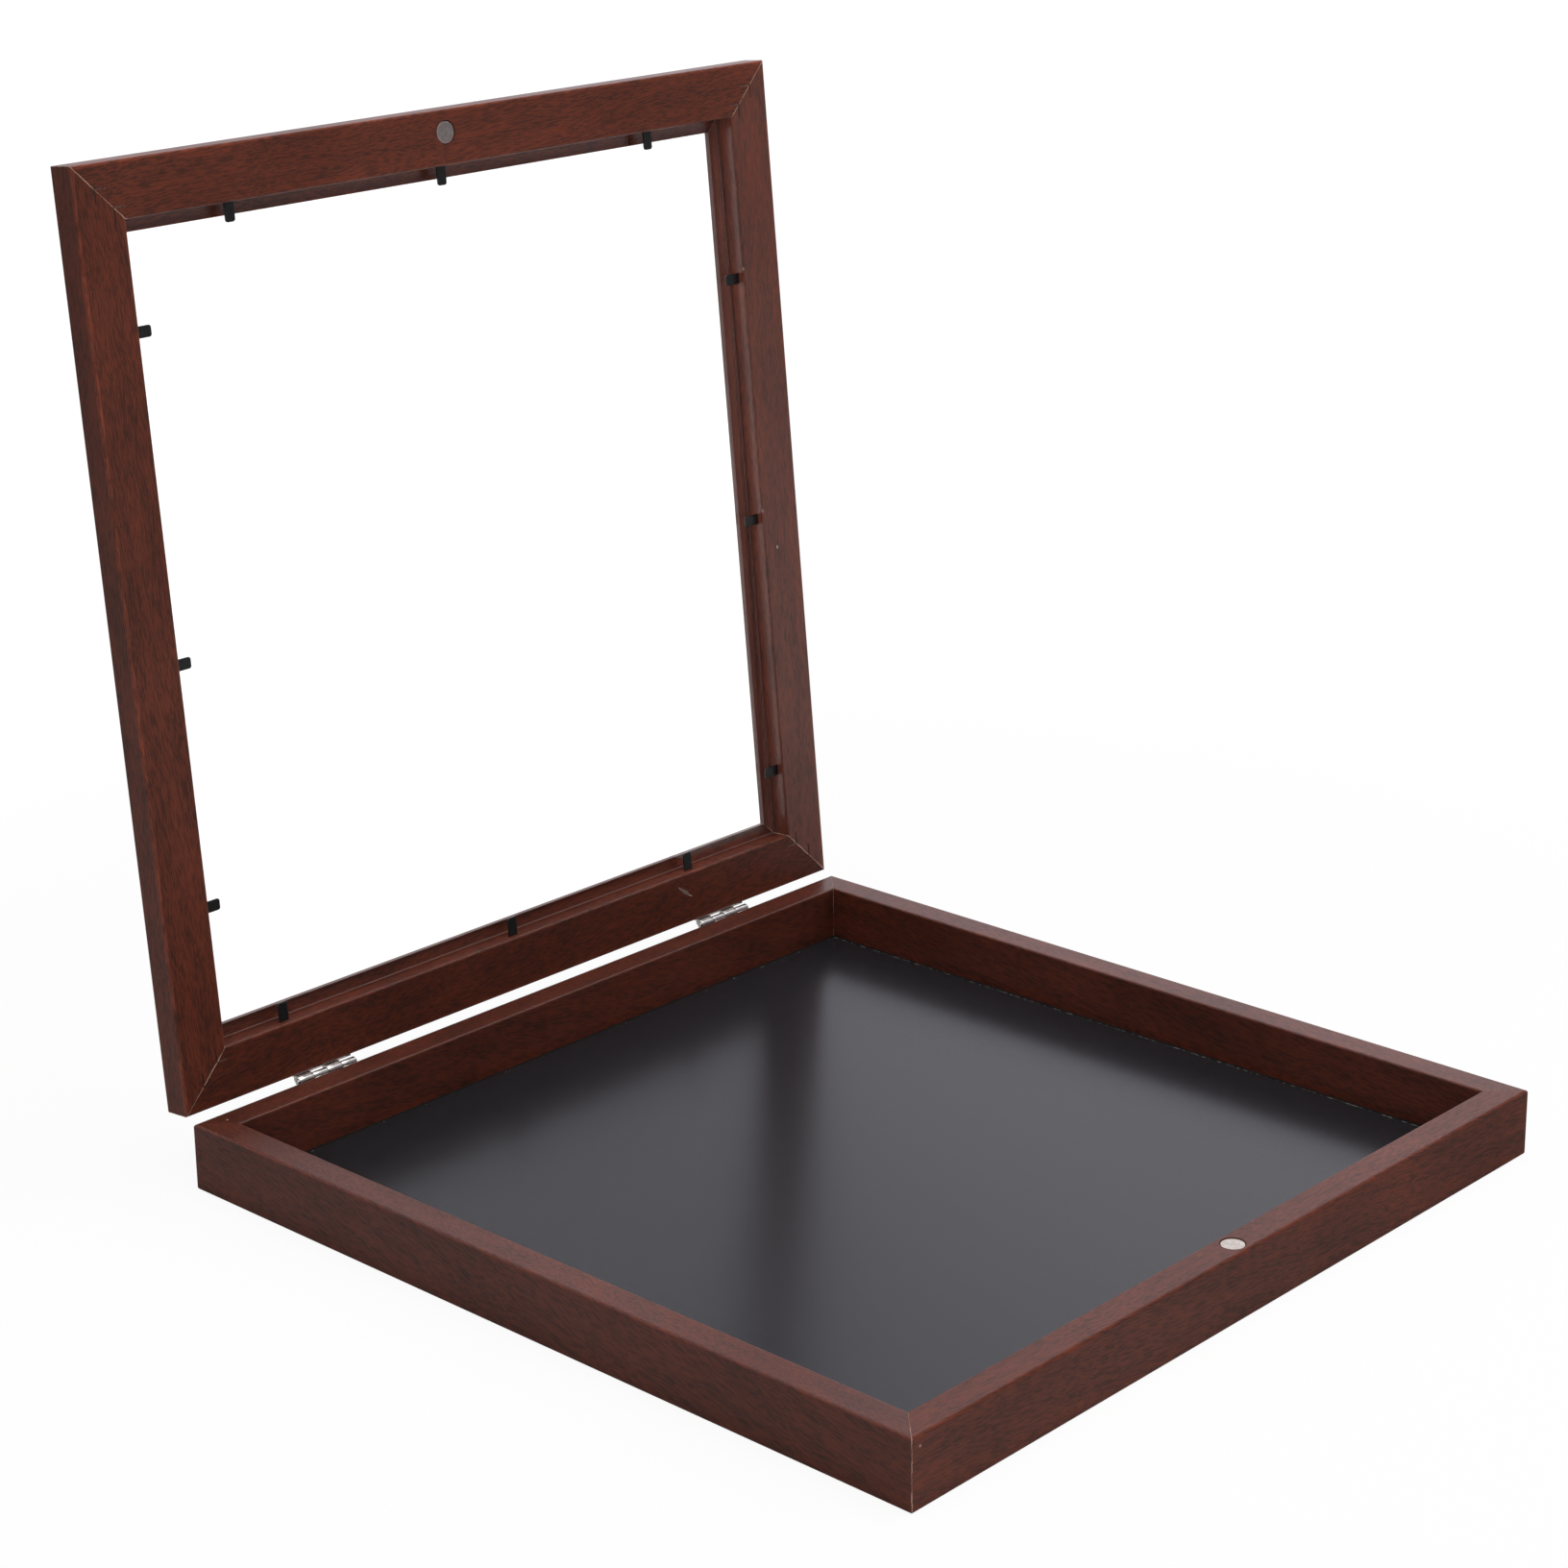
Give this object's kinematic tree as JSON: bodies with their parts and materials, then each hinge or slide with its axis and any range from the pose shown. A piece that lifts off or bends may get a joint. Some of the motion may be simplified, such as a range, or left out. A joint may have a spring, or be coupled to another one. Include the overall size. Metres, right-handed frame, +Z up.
{
  "type": "jersey display case",
  "caption": "Square hinged shadow-box case with a clear framed lid standing open, a black lined tray and a magnet catch.",
  "frame": {"origin": "on the surface the case stands on, under the middle of the bounding box of the open case", "axes": "+X along the hinges to the right seen from the front, +Y from the front rail back past the hinges, +Z up"},
  "size_m": [0.4, 0.4528, 0.4301],
  "materials": {
    "woodgrain_rail": "satin red-brown woodgrain foil on fibreboard",
    "black_tab": "black satin coating",
    "backing_board": "black faced hardboard",
    "black_liner": "black card with a fine leather grain, satin",
    "clear_panel": "clear polished sheet",
    "nickel_magnet": "bright nickel plating",
    "worn_magnet": "dull nickel plating",
    "corner_nail_steel": "plain",
    "screw_steel": "nickel plated",
    "hinge_nickel": "nickel plated, satin"
  },
  "bodies": {
    "base": {"base_front_rail": "woodgrain_rail", "base_right_rail": "woodgrain_rail", "base_back_rail": "woodgrain_rail", "base_left_rail": "woodgrain_rail", "base_magnet": "nickel_magnet", "backing_board": "backing_board", "display_liner": "black_liner", "board_points": "black_tab", "base_corner_nails": "corner_nail_steel", "left_hinge_base_leaf": "hinge_nickel", "left_hinge_pin": "hinge_nickel", "left_hinge_base_screws": "screw_steel", "right_hinge_base_leaf": "hinge_nickel", "right_hinge_pin": "hinge_nickel", "right_hinge_base_screws": "screw_steel"},
    "lid": {"lid_front_rail": "woodgrain_rail", "lid_front_tabs": "black_tab", "lid_right_rail": "woodgrain_rail", "lid_right_tabs": "black_tab", "lid_back_rail": "woodgrain_rail", "lid_back_tabs": "black_tab", "lid_left_rail": "woodgrain_rail", "lid_left_tabs": "black_tab", "lid_magnet": "worn_magnet", "glazing_panel": "clear_panel", "lid_corner_nails": "corner_nail_steel", "left_hinge_lid_leaf": "hinge_nickel", "left_hinge_lid_screws": "screw_steel", "right_hinge_lid_leaf": "hinge_nickel", "right_hinge_lid_screws": "screw_steel"}
  },
  "joints": [
    {"name": "lid_hinge", "type": "hinge", "parent": "base", "child": "lid", "pos_m": [0, 0.17639, 0.029], "axis": [1, 0, 0], "range_deg": [0, 95]}
  ]
}
